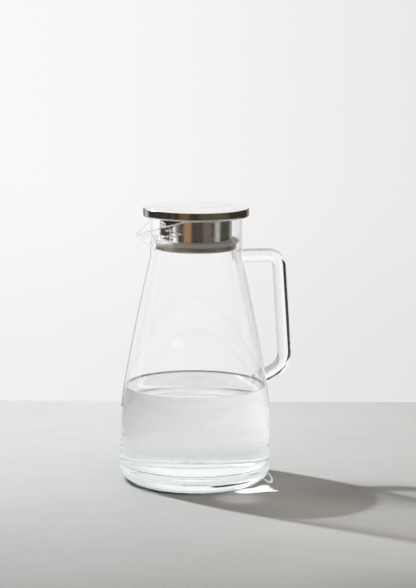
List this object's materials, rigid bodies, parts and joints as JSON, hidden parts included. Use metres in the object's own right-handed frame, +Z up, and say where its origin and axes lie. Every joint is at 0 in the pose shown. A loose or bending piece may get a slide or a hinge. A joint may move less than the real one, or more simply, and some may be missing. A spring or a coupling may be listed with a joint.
{
  "type": "glass water jug",
  "caption": "Clear glass water jug with a pinched spout, a fused rod handle and a steel lid whose perforated sleeve strains the pour and turns to close the spout.",
  "frame": {"origin": "on the jug's axis, in the plane of the ring it stands on", "axes": "+Z up along the jug's axis, -X towards the spout, +X towards the handle, +Y to the side"},
  "size_m": [0.1674, 0.1374, 0.25],
  "materials": {
    "clear_glass": "clear blown glass, fire polished",
    "stainless_steel": "satin to bright polished stainless sheet",
    "silicone": "translucent cream silicone, matte"
  },
  "bodies": {
    "jug": {"glass_body": "clear_glass", "handle": "clear_glass"},
    "seal": {"seal_ring": "silicone"},
    "lid": {"lid_cap": "stainless_steel", "lid_base_plate": "stainless_steel", "strainer_sleeve": "stainless_steel"}
  },
  "joints": [
    {"name": "lid_lift", "type": "slide", "parent": "jug", "child": "seal", "axis": [0, 0, 1], "range_m": [0, 0.06]},
    {"name": "lid_turn", "type": "hinge", "parent": "seal", "child": "lid", "pos_m": [0, 0, 0.2423], "axis": [0, 0, 1], "continuous": true}
  ]
}
